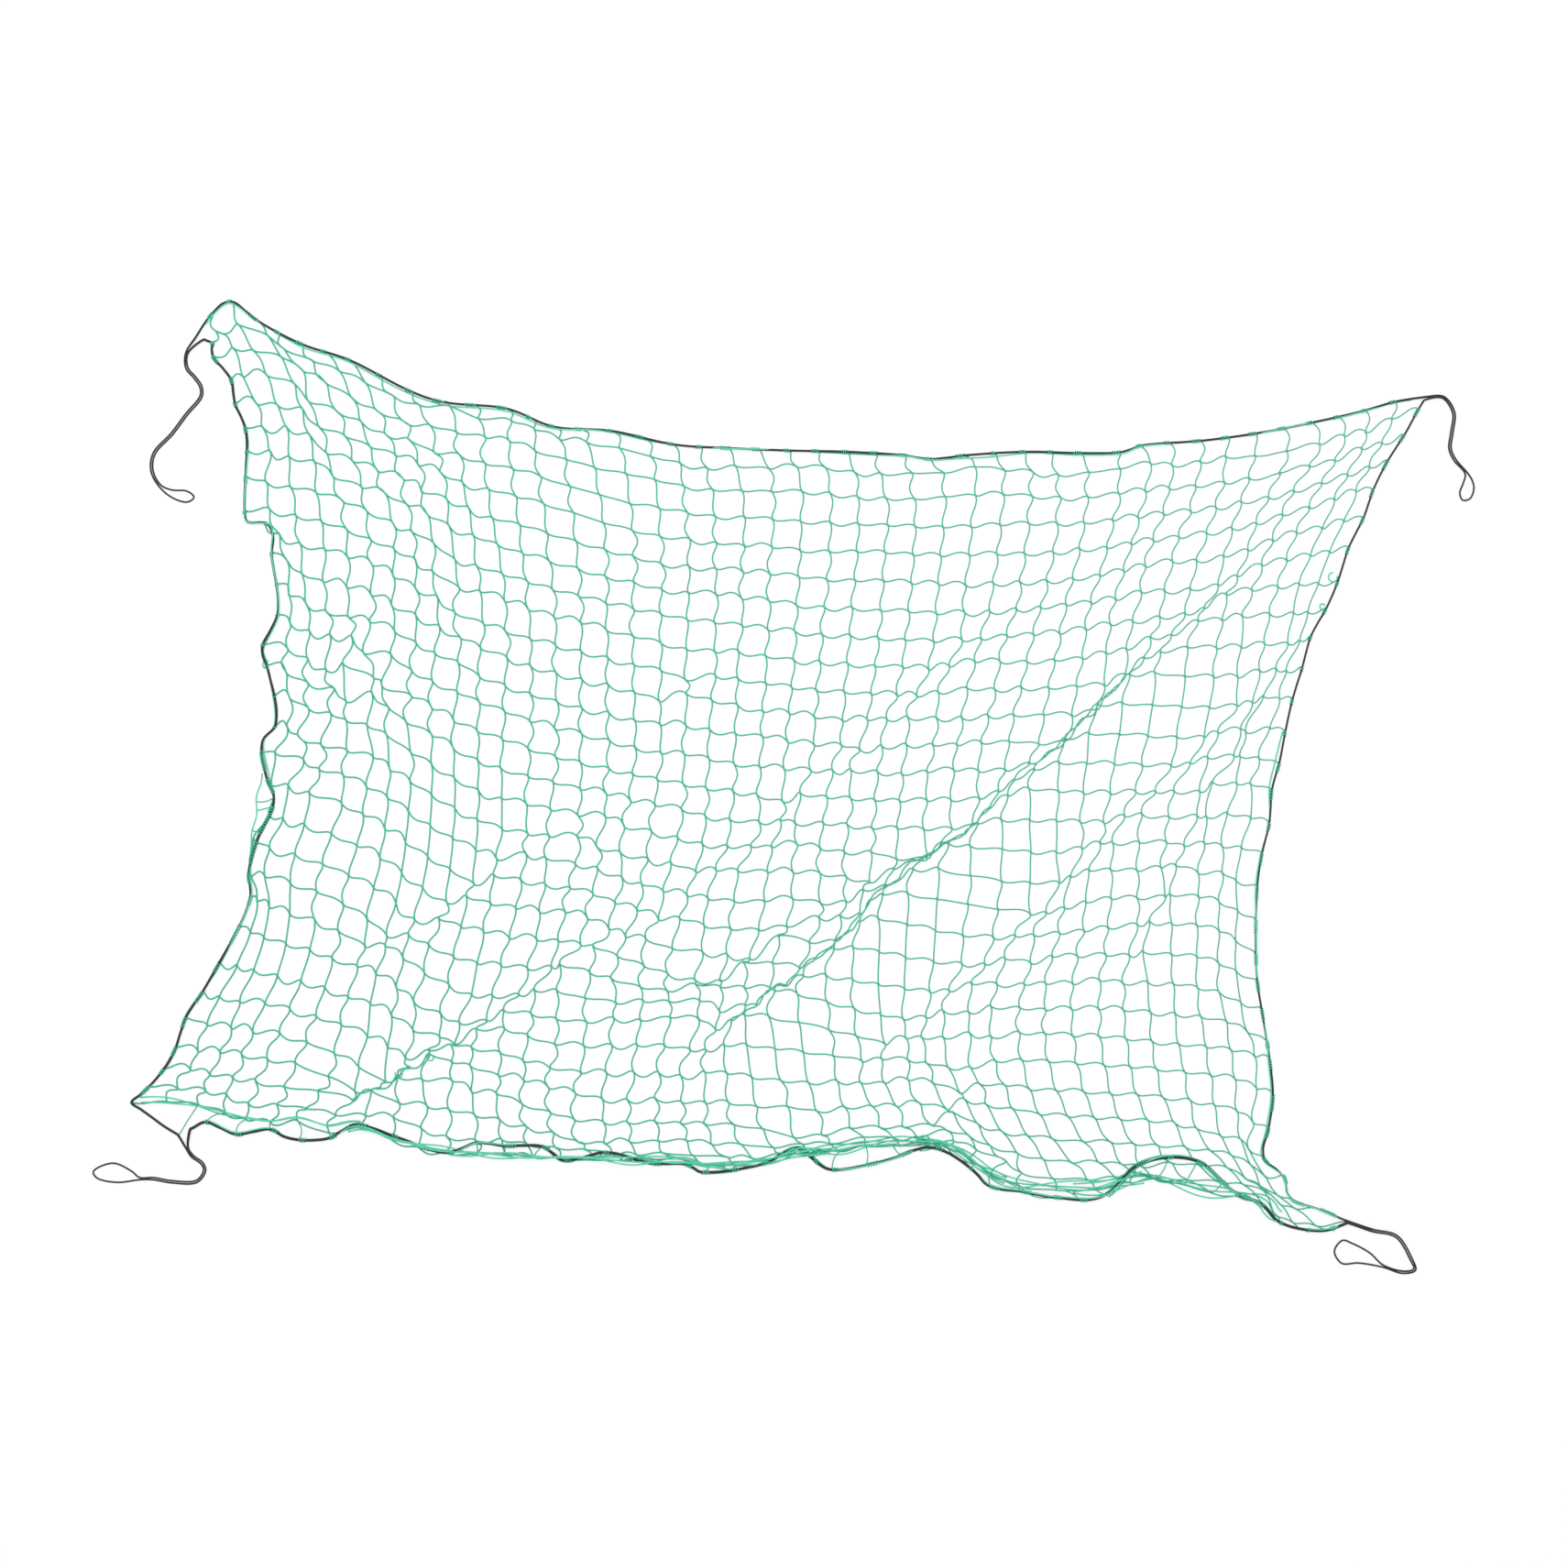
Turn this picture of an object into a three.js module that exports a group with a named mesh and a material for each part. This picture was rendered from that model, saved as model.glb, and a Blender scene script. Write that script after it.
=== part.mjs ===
// Cargo net laid out flat on the ground: square-mesh twine with an elastic cord threaded round its edge.
// Millimetres, +Z up. X runs along the net, Y points to its top edge and the ground is at Z = 0.
import * as THREE from 'three';

// Driving dimensions
const meshesAcross = 44;
const meshesDown = 30;
const twineStep = 2; // every second twine is built
const twineWidth = 2;
const twineThickness = 2;
const openGaps = 300; // the widest; those gathered on the cord or in a pleat stay closed
const cordDiameter = 3;
const cordSides = 8;
const runStep = 30; // along an edge cord
const loopStep = 12; // along a corner loop, which bends more
const touchGap = 0.3; // between pieces that touch
const pairSpacing = 4; // between the two strands of a corner loop
const edgeReach = 2.2; // meshes over which the waves of an edge die out
const pleatHalfWidth = 1.6; // meshes
const pleatTaper = 2.5; // meshes over which a pleat opens out at its ends

const cordHeight = twineThickness + touchGap + cordDiameter / 2;

// A table as one object per row
const rows = (columns, values) =>
  values.map((row) => Object.fromEntries(columns.split(' ').map((column, k) => [column, row[k]])));

// Routes of the edge cord, by mesh from the left end of the top and bottom and the top end of the sides
const topRoute = rows('mesh x y', [
  [0, -956, 698], [1, -927, 740], [2, -896, 760], [3, -855, 730], [5, -780, 690], [7, -700, 663],
  [9, -600, 612], [10, -552, 596], [12, -447, 585], [14, -368, 555], [16, -273, 548], [18, -172, 526],
  [20, -82, 520], [22, 18, 516], [24, 112, 514], [26, 207, 508], [27, 248, 502], [28, 303, 508],
  [30, 402, 514], [32, 495, 512], [33, 558, 513], [34, 592, 524], [36, 690, 532], [38, 780, 544],
  [40, 873, 562], [42, 960, 582], [43, 1008, 596], [44, 1059, 604],
]);
const rightRoute = rows('mesh x y', [
  [0, 1059, 604], [1, 1046, 584], [2, 1023, 542], [3, 996, 500], [4, 972, 452], [5, 956, 406],
  [6, 932, 358], [7, 914, 302], [8, 894, 256], [9, 870, 213], [10, 856, 162], [11, 840, 110],
  [12, 828, 56], [13, 818, 4], [14, 806, -39], [15, 802, -93], [16, 790, -142], [17, 782, -196],
  [18, 780, -250], [19, 780, -306], [20, 782, -351], [21, 789, -396], [22, 798, -450], [23, 802, -478],
  [24, 808, -537], [25, 801, -591], [26, 792, -639], [27, 825, -670], [28, 837, -708], [29, 885, -725],
  [30, 933, -746],
]);
const bottomRoute = rows('mesh x y', [
  [0, -1059, -550], [1, -1020, -578], [2, -980, -602], [3, -938, -582], [4, -888, -602], [5, -831, -594],
  [5.6, -804, -608], [7, -735, -608], [8, -692, -586], [9, -633, -604], [11, -540, -632], [12, -495, -616],
  [13, -447, -621], [14, -387, -622], [15, -350, -645], [16, -288, -632], [18, -207, -650], [19, -153, -651],
  [20, -126, -664], [22, -27, -651], [23.5, 36, -626], [24, 57, -644], [25, 87, -660], [26.5, 172, -646],
  [28, 254, -624], [29, 312, -656], [30, 345, -687], [31, 400, -696], [32, 450, -705], [34, 536, -700],
  [35, 585, -654], [37, 684, -646], [38.5, 744, -696], [40, 790, -717], [41, 819, -746], [42.5, 885, -760],
  [44, 933, -746],
]);
const leftRoute = rows('mesh x y', [
  [0, -956, 698], [1, -928, 693], [2, -926, 670], [3, -897, 634], [4, -890, 594], [5, -873, 554],
  [7, -872, 474], [8, -874, 418], [8.6, -868, 399], [9.2, -831, 394], [10, -830, 351], [12, -820, 249],
  [13.2, -846, 192], [14, -838, 166], [16, -824, 66], [16.6, -844, 42], [18, -837, -21], [18.8, -825, -56],
  [20, -854, -123], [21, -867, -174], [22, -864, -213], [23, -882, -261], [24, -915, -321], [25, -942, -368],
  [26, -970, -411], [27, -986, -459], [28, -1005, -494], [29, -1030, -524], [30, -1059, -550],
]);

// How far the net's bottom edge hangs out below the cord
const bottomHang = rows('mesh drop', [
  [0, 0], [6.5, 0], [8, 18], [9.5, 0], [33.8, 0], [35, 42], [37, 46], [38.6, 4], [39.5, 0], [44, 0],
]);

// Where six of the lengthwise twines cross rows 5 to 25 of the net
const crossRows = [5, 10, 15, 20, 25];
const inside = rows('mesh row5 row10 row15 row20 row25', [
  [7, [-615, 470], [-592, 260], [-603, 16], [-633, -228], [-699, -486]],
  [14, [-326, 358], [-324, 142], [-328, -93], [-357, -288], [-412, -478]],
  [20, [-54, 318], [-66, 104], [-86, -129], [-134, -351], [-158, -498]],
  [26, [206, 302], [184, 78], [152, -148], [80, -291], [96, -531]],
  [32, [471, 312], [424, 93], [362, -81], [333, -328], [330, -512]],
  [38, [728, 339], [657, 154], [597, -78], [558, -314], [582, -524]],
]);

// Pleats across the net, from and to in meshes across and down; reach is how far beside it the net is drawn in
const pleats = rows('name fromAcross fromDown toAcross toDown takeUp reach lift', [
  ['main', 39.2, 5.9, 21.0, 24.0, 72, 4, 12],
  ['branch', 24.4, 18.4, 17.5, 22.2, 45, 2.5, 9],
  ['long', 28.0, 9.0, 14.0, 21.7, 27, 2.5, 6],
  ['lowerLeft', 15.0, 21.0, 7.0, 26.3, 51, 2.5, 9],
  ['right', 39.5, 13.0, 27.0, 24.6, 36, 2.5, 8],
  ['side', 40.5, 11.5, 40.5, 20.0, 27, 2, 6],
  ['upper', 40.8, 3.0, 37.3, 7.0, 24, 2, 6],
  ['pucker', 4.4, 11.5, 4.9, 16.8, 27, 2, 6],
]);

// Edge cords by the stretch of route each one follows, short of the corners where its loops begin
const runs = {
  top: [[topRoute, 0.12, 43.9]],
  right: [[rightRoute, 0.5, 29.7]],
  bottom: [[bottomRoute, 2.5, 43.8]],
  left: [[leftRoute, 0.6, 30], [bottomRoute, 0.4, 1.85]],
};

// Corner loops: two strands lie side by side down the leg and the eye joins them at its end.
// The right strand, seen going out, carries on from one edge cord and the left strand leads into the next.
const loops = [
  {
    name: 'top_left',
    right: ['top', 'start'],
    left: ['left', 'start'],
    leg: rows('x y', [
      [-968, 676], [-969, 652], [-956, 636], [-946, 621], [-946, 604], [-969, 576], [-993, 544],
      [-1022, 512], [-1026, 484], [-1014, 460],
    ]),
    eye: rows('x y', [[-994, 440], [-969, 432], [-957, 440], [-969, 450], [-994, 452]]),
  },
  {
    name: 'top_right',
    right: ['right', 'start'],
    left: ['top', 'finish'],
    leg: rows('x y', [[1086, 603], [1104, 578], [1101, 546], [1098, 520], [1106, 501], [1124, 480]]),
    eye: rows('x y', [[1120, 464], [1114, 447], [1119, 435], [1131, 438], [1137, 454], [1134, 468]]),
  },
  {
    name: 'bottom_left',
    right: ['left', 'finish'],
    left: ['bottom', 'start'],
    leg: rows('x y', [
      [-968, -624], [-960, -638], [-944, -650], [-940, -663], [-954, -680], [-994, -680], [-1024, -675],
      [-1046, -675],
    ]),
    eye: rows('x y', [
      [-1059, -663], [-1086, -650], [-1108, -654], [-1122, -664], [-1114, -675], [-1082, -681],
    ]),
  },
  {
    name: 'bottom_right',
    right: ['bottom', 'finish'],
    left: ['right', 'finish'],
    leg: rows('x y', [[970, -759], [1011, -770], [1035, -808], [1040, -824], [1020, -828], [988, -818]]),
    eye: rows('x y', [
      [966, -796], [936, -780], [922, -776], [910, -789], [910, -800], [922, -814], [948, -813],
    ]),
  },
];

const twine = new THREE.MeshStandardMaterial({ color: '#3fa983', roughness: 0.6, metalness: 0 });
const elastic = new THREE.MeshStandardMaterial({ color: '#2b3b36', roughness: 0.8, metalness: 0 });

const point = (x, y) => new THREE.Vector2(x, y);
const smoothStep = (t) => THREE.MathUtils.smoothstep(t, 0, 1);

// A smooth curve through the values, with the mean of the two slopes beside each key
function smooth(keys, values, at) {
  const last = keys.length - 1;
  let k = 0;
  while (k < last - 1 && keys[k + 1] <= at) k += 1;
  const slope = (n) => (values[n + 1] - values[n]) / (keys[n + 1] - keys[n]);
  const tangent = (n) => (slope(Math.max(n - 1, 0)) + slope(Math.min(n, last - 1))) / 2;
  const span = keys[k + 1] - keys[k];
  const t = (at - keys[k]) / span;
  const here = (1 + 2 * t) * (1 - t) ** 2 * values[k] + t * (1 - t) ** 2 * span * tangent(k);
  const next = t * t * (3 - 2 * t) * values[k + 1] + t * t * (t - 1) * span * tangent(k + 1);
  return here + next;
}

const column = (table, name) => table.map((row) => row[name]);
const along = (route, mesh) =>
  point(
    smooth(column(route, 'mesh'), column(route, 'x'), mesh),
    smooth(column(route, 'mesh'), column(route, 'y'), mesh),
  );

// The net's own four edges: on the cord, except where the bottom edge hangs out below it
const edges = {
  top: (across) => along(topRoute, across),
  right: (down) => along(rightRoute, down),
  bottom: (across) => {
    const drop = smooth(column(bottomHang, 'mesh'), column(bottomHang, 'drop'), across);
    return along(bottomRoute, across).sub(point(0, Math.max(drop, 0)));
  },
  left: (down) => along(leftRoute, down),
};

// Take-up and height of one pleat at a place in the net
function pleatAt(pleat, across, down) {
  const run = point(pleat.toAcross - pleat.fromAcross, pleat.toDown - pleat.fromDown);
  const length = run.length();
  const offset = point(across - pleat.fromAcross, down - pleat.fromDown);
  const share = offset.dot(run) / (length * length);
  const aside = offset.cross(run) / length;
  const ends = smoothStep((Math.min(share, 1 - share) * length) / pleatTaper);
  const beyond = Math.max(Math.abs(aside) - pleatHalfWidth, 0);
  const inPleat = Math.min(Math.abs(aside) / pleatHalfWidth, 1);
  const draw = Math.sign(aside) * inPleat * Math.exp(-beyond / pleat.reach);
  const towards = point(run.y, run.x).divideScalar(length);
  const shift = towards.multiplyScalar((-pleat.takeUp / 2) * ends * draw);
  const height = pleat.lift * ends * Math.cos((inPleat * Math.PI) / 2) ** 2;
  return { shift, height };
}

function pleatShift(across, down) {
  const total = point(0, 0);
  pleats.forEach((pleat) => total.add(pleatAt(pleat, across, down).shift));
  return total;
}

// The lie of the net without the waves of its edges: a smooth sheet through the tables, plus the pleats
const downKeys = [0, ...crossRows, meshesDown];
const acrossKeys = [0, ...column(inside, 'mesh'), meshesAcross];
const sheet = acrossKeys.map((across) => {
  const row = inside.find((entry) => entry.mesh === across);
  return downKeys.map((down) => {
    if (down === 0) return edges.top(across);
    if (down === meshesDown) return edges.bottom(across);
    if (across === 0) return edges.left(down);
    if (across === meshesAcross) return edges.right(down);
    return point(...row[`row${down}`]).sub(pleatShift(across, down));
  });
});

function drape(across, down) {
  const read = (axis) => {
    const lines = sheet.map((line) => smooth(downKeys, column(line, axis), down));
    return smooth(acrossKeys, lines, across);
  };
  return point(read('x'), read('y')).add(pleatShift(across, down));
}

// Where a place in the net, counted in meshes across and down, lies on the ground
function place(across, down) {
  const pulls = [
    [edges.top(across), drape(across, 0), down],
    [edges.bottom(across), drape(across, meshesDown), meshesDown - down],
    [edges.left(down), drape(0, down), across],
    [edges.right(down), drape(meshesAcross, down), meshesAcross - across],
  ];
  const spot = drape(across, down);
  pulls.forEach(([edge, draped, distance]) => {
    spot.add(edge.sub(draped).multiplyScalar(Math.exp(-((distance / edgeReach) ** 1.5))));
  });
  const height = Math.max(...pleats.map((pleat) => pleatAt(pleat, across, down).height));
  return new THREE.Vector3(spot.x, spot.y, height);
}

// Unit direction of the twine through a place, in plan
function heading(across, down, stepAcross, stepDown) {
  const nudge = 0.2;
  const before = place(
    Math.max(across - nudge * stepAcross, 0),
    Math.max(down - nudge * stepDown, 0),
  );
  const after = place(
    Math.min(across + nudge * stepAcross, meshesAcross),
    Math.min(down + nudge * stepDown, meshesDown),
  );
  return point(after.x - before.x, after.y - before.y).normalize();
}

// Faces collected on shared points
class Faces {
  points = [];
  triangles = [];

  add(spot) {
    return this.points.push(spot) - 1;
  }

  quad(a, b, c, d) {
    this.triangles.push([a, b, c], [a, c, d]);
  }

  // A closed plate: these faces on top, the same below, and walls on every open edge
  plate(thickness) {
    const count = this.points.length;
    const top = this.points.map((spot) => [spot.x, spot.y, spot.z + thickness]);
    const under = this.points.map((spot) => [spot.x, spot.y, spot.z]);
    const sides = new Set(this.triangles.flatMap(([a, b, c]) => [`${a}>${b}`, `${b}>${c}`, `${c}>${a}`]));
    const index = [];
    this.triangles.forEach(([a, b, c]) => {
      index.push(a, b, c, count + c, count + b, count + a);
      [[a, b], [b, c], [c, a]].forEach(([from, to]) => {
        if (sides.has(`${to}>${from}`)) return;
        index.push(from, count + from, count + to, from, count + to, to);
      });
    });
    const geometry = new THREE.BufferGeometry();
    geometry.setAttribute('position', new THREE.Float32BufferAttribute([...top, ...under].flat(), 3));
    geometry.setIndex(index);
    geometry.computeVertexNormals();
    return geometry;
  }
}

// The net: flat twines that meet in square crossings, with the gaps between them left open
function makeNet() {
  const faces = new Faces();
  const half = twineWidth / 2;
  const countAcross = meshesAcross / twineStep;
  const countDown = meshesDown / twineStep;
  const shifted = (spot, direction, distance) =>
    new THREE.Vector3(spot.x + direction.x * distance, spot.y + direction.y * distance, spot.z);

  const crossing = (i, j) => {
    const across = i * twineStep;
    const down = j * twineStep;
    const spot = place(across, down);
    const east = heading(across, down, 1, 0);
    let south = heading(across, down, 0, 1);
    let turn = -east.cross(south);
    if (turn < 0.5) {
      // Twines that run nearly alongside still meet squarely
      south = point(east.y, -east.x);
      turn = 1;
    }
    const reach = half / turn;
    const corner = (signEast, signSouth) => {
      const outward = east.clone().multiplyScalar(signEast).addScaledVector(south, signSouth);
      return faces.add(shifted(spot, outward, reach));
    };
    const corners = { nw: corner(-1, -1), sw: corner(-1, 1), se: corner(1, 1), ne: corner(1, -1) };
    faces.quad(corners.nw, corners.sw, corners.se, corners.ne);
    return corners;
  };
  const crossings = Array.from({ length: countAcross + 1 }, (_, i) =>
    Array.from({ length: countDown + 1 }, (_, j) => crossing(i, j)),
  );

  // Points along both sides of a twine between two crossings, in more pieces where it bends
  const bar = (i, j, stepI, stepJ, first, last) => {
    const from = [i * twineStep, j * twineStep];
    const at = (share) => [from[0] + share * stepI * twineStep, from[1] + share * stepJ * twineStep];
    const chord = place(...at(0)).lerp(place(...at(1)), 0.5);
    const bend = chord.distanceTo(place(...at(0.5)));
    const onEdge = stepI ? j === 0 || j === countDown : i === 0 || i === countAcross;
    const pieces = onEdge ? 4 : bend > 3 ? 2 : 1;
    const leftSide = [first.left];
    const rightSide = [first.right];
    for (let k = 1; k < pieces; k += 1) {
      const spot = place(...at(k / pieces));
      const direction = heading(...at(k / pieces), stepI, stepJ);
      const leftward = point(-direction.y, direction.x);
      leftSide.push(faces.add(shifted(spot, leftward, half)));
      rightSide.push(faces.add(shifted(spot, leftward, -half)));
    }
    leftSide.push(last.left);
    rightSide.push(last.right);
    for (let k = 0; k < pieces; k += 1) {
      faces.quad(leftSide[k], rightSide[k], rightSide[k + 1], leftSide[k + 1]);
    }
    return { leftSide, rightSide };
  };
  const acrossBars = crossings.slice(1).map((nextLine, i) =>
    nextLine.map((next, j) => {
      const here = crossings[i][j];
      return bar(i, j, 1, 0, { left: here.ne, right: here.se }, { left: next.nw, right: next.sw });
    }),
  );
  const downBars = crossings.map((line, i) =>
    line.slice(1).map((next, j) => {
      const here = line[j];
      return bar(i, j, 0, 1, { left: here.se, right: here.sw }, { left: next.ne, right: next.nw });
    }),
  );

  // Each gap as a ring of points; all but the widest are closed
  const gaps = [];
  for (let i = 0; i < countAcross; i += 1) {
    for (let j = 0; j < countDown; j += 1) {
      const ring = [
        ...downBars[i][j].leftSide,
        ...acrossBars[i][j + 1].leftSide,
        ...[...downBars[i + 1][j].rightSide].reverse(),
        ...[...acrossBars[i][j].rightSide].reverse(),
      ];
      const single = ring.filter((spot, k) => spot !== ring[(k + 1) % ring.length]);
      const outline = single.map((spot) => point(faces.points[spot].x, faces.points[spot].y));
      gaps.push({ single, outline, area: THREE.ShapeUtils.area(outline) });
    }
  }
  gaps.sort((a, b) => b.area - a.area);
  gaps.slice(openGaps).forEach(({ single, outline }) => {
    THREE.ShapeUtils.triangulateShape(outline, []).forEach(([a, b, c]) => {
      const turn = THREE.ShapeUtils.area([outline[a], outline[b], outline[c]]);
      const order = turn > 0 ? [a, b, c] : [a, c, b];
      faces.triangles.push(order.map((k) => single[k]));
    });
  });
  return faces.plate(twineThickness);
}

// A round cord along a list of points
function cord(points, step) {
  const path = new THREE.CatmullRomCurve3(points);
  const ring = Array.from({ length: cordSides }, (_, k) => {
    const angle = (2 * Math.PI * (k + 0.5)) / cordSides;
    return point(Math.cos(angle), Math.sin(angle)).multiplyScalar(cordDiameter / 2);
  });
  const steps = Math.round(path.getLength() / step);
  return new THREE.ExtrudeGeometry(new THREE.Shape(ring), { steps, extrudePath: path, bevelEnabled: false });
}

function runPoints(stretches) {
  return stretches.flatMap(([route, from, to]) => {
    const count = Math.max(Math.round((to - from) * 2), 2);
    return Array.from({ length: count + 1 }, (_, k) => {
      const spot = along(route, from + ((to - from) * k) / count);
      return new THREE.Vector3(spot.x, spot.y, cordHeight);
    });
  });
}

// The two points of a loop that lead straight out of the end of an edge cord
function leadPoints([name, end]) {
  const points = runPoints(runs[name]);
  if (end === 'finish') points.reverse();
  const outward = points[0].clone().sub(points[1]).normalize();
  return [touchGap, touchGap + cordDiameter].map((gap) => points[0].clone().addScaledVector(outward, gap));
}

function loopPoints({ right, left, leg, eye }) {
  const low = cordDiameter / 2 + touchGap;
  const legHeight = (k) => (k === 0 ? cordHeight : low);
  const strand = (side) =>
    leg.map((spot, k) => {
      const before = leg[Math.max(k - 1, 0)];
      const after = leg[Math.min(k + 1, leg.length - 1)];
      const direction = point(after.x - before.x, after.y - before.y).normalize();
      const aside = point(direction.y, -direction.x).multiplyScalar((side * pairSpacing) / 2);
      return new THREE.Vector3(spot.x + aside.x, spot.y + aside.y, legHeight(k));
    });
  const round = eye.map((spot) => new THREE.Vector3(spot.x, spot.y, low));
  return [
    ...leadPoints(right),
    ...strand(1),
    ...round,
    ...strand(-1).reverse(),
    ...leadPoints(left).reverse(),
  ];
}

const assembly = new THREE.Group();
assembly.name = 'cargo_net';
function fit(name, geometry, material) {
  const piece = new THREE.Mesh(geometry, material);
  piece.name = name;
  assembly.add(piece);
}

fit('net', makeNet(), twine);
Object.entries(runs).forEach(([name, stretches]) => {
  fit(`edge_cord_${name}`, cord(runPoints(stretches), runStep), elastic);
});
loops.forEach((loop) => {
  fit(`corner_loop_${loop.name}`, cord(loopPoints(loop), loopStep), elastic);
});

export default assembly;
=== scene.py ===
# Square-mesh twine cargo net with an elastic cord threaded round its edge, laid out flat on the floor.
# Metres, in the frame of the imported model: X along the net, Y to its top edge, Z up from the floor.
import bpy
import numpy as np
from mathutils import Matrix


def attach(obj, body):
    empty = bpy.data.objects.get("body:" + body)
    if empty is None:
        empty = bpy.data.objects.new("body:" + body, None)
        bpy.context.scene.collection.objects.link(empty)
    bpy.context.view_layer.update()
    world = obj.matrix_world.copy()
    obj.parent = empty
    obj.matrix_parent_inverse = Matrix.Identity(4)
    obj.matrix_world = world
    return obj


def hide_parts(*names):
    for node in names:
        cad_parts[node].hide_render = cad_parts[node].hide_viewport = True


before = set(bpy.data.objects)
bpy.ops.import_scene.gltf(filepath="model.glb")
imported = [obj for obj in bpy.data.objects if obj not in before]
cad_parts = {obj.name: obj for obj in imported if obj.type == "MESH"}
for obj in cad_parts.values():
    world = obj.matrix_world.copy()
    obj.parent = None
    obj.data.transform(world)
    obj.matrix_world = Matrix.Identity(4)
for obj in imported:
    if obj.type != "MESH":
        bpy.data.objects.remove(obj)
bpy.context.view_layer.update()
print("frame loaded with", len(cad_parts), "nodes")

mm = 0.001  # tables below are in millimetres
floorGap = 0.1  # mm between the floor and the lowest strands
fullTurn = 2 * np.pi
tiny = 1e-12  # keeps divisions and logarithms finite

# Camera straight above the net
cameraAbove = {"lensMm": 50, "sensorMm": 36, "height": 3.565, "over": (0.00825, -0.02925), "farthest": 60}

lens = bpy.data.cameras.new("cameraAbove")
lens.lens = cameraAbove["lensMm"]
lens.sensor_width = cameraAbove["sensorMm"]
lens.clip_end = cameraAbove["farthest"]
camera = bpy.data.objects.new("cameraAbove", lens)
camera.location = (*cameraAbove["over"], cameraAbove["height"])
bpy.context.scene.collection.objects.link(camera)
bpy.context.scene.camera = camera
print("camera placed")


# Shared helpers
def smoothThrough(keys, values, at):
    # a curve through the values, with the mean of the two slopes beside each key
    keys, values, at = np.asarray(keys, float), np.asarray(values, float), np.asarray(at, float)
    values = values.reshape(len(keys), -1)
    slopes = np.diff(values, axis=0) / np.diff(keys)[:, None]
    tangents = (np.concatenate([slopes[:1], slopes]) + np.concatenate([slopes, slopes[-1:]])) / 2
    before = np.clip(np.searchsorted(keys, at, side="right") - 1, 0, len(keys) - 2)
    span = (keys[before + 1] - keys[before])[..., None]
    part = (at - keys[before])[..., None] / span
    rest = 1 - part
    curve = (1 + 2 * part) * rest ** 2 * values[before] + part * rest ** 2 * span * tangents[before]
    curve = curve + part * part * (3 - 2 * part) * values[before + 1]
    return curve + part * part * (part - 1) * span * tangents[before + 1]


def along(route, at):
    table = np.array(route, float)
    return smoothThrough(table[:, 0], table[:, 1:], at)


def easeIn(part):
    part = np.clip(part, 0, 1)
    return part * part * (3 - 2 * part)


def unit(vectors):
    return vectors / np.maximum(np.linalg.norm(vectors, axis=-1, keepdims=True), tiny)


def sideways(vectors):
    return np.stack([-vectors[..., 1], vectors[..., 0]], -1)


def withHeight(spots, heights):
    return np.concatenate([spots, np.broadcast_to(heights, spots.shape[:-1])[..., None]], -1)


def wander(seed, waveLength, waves=14, lengthSpread=(0.7, 1.6)):
    # gentle random field over the net, mean 0 and spread about 1; the wave length is in meshes
    dice = np.random.default_rng(seed)
    angle = dice.uniform(0, fullTurn, waves)
    pace = fullTurn / (waveLength * dice.uniform(*lengthSpread, waves))
    start = dice.uniform(0, fullTurn, waves)

    def field(across, down):
        across, down = np.broadcast_arrays(np.asarray(across, float), np.asarray(down, float))
        travel = across[..., None] * np.cos(angle) + down[..., None] * np.sin(angle)
        return np.sin(travel * pace + start).sum(-1) / np.sqrt(waves / 2)

    return field


def lengthAlong(path):
    return np.concatenate([[0], np.cumsum(np.linalg.norm(np.diff(path, axis=0), axis=1))])


def evenPath(points, step, finePerPoint=40):
    # smooth path through the points, cut to even steps
    points = np.asarray(points, float)
    keys = np.concatenate([[0], np.cumsum(np.sqrt(np.linalg.norm(np.diff(points, axis=0), axis=1)))])
    fine = smoothThrough(keys, points, np.linspace(0, keys[-1], finePerPoint * len(points)))
    travel = lengthAlong(fine)
    stops = np.linspace(0, travel[-1], max(int(round(travel[-1] / step)), 2) + 1)
    return np.stack([np.interp(stops, travel, fine[:, axis]) for axis in range(3)], -1)


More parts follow.
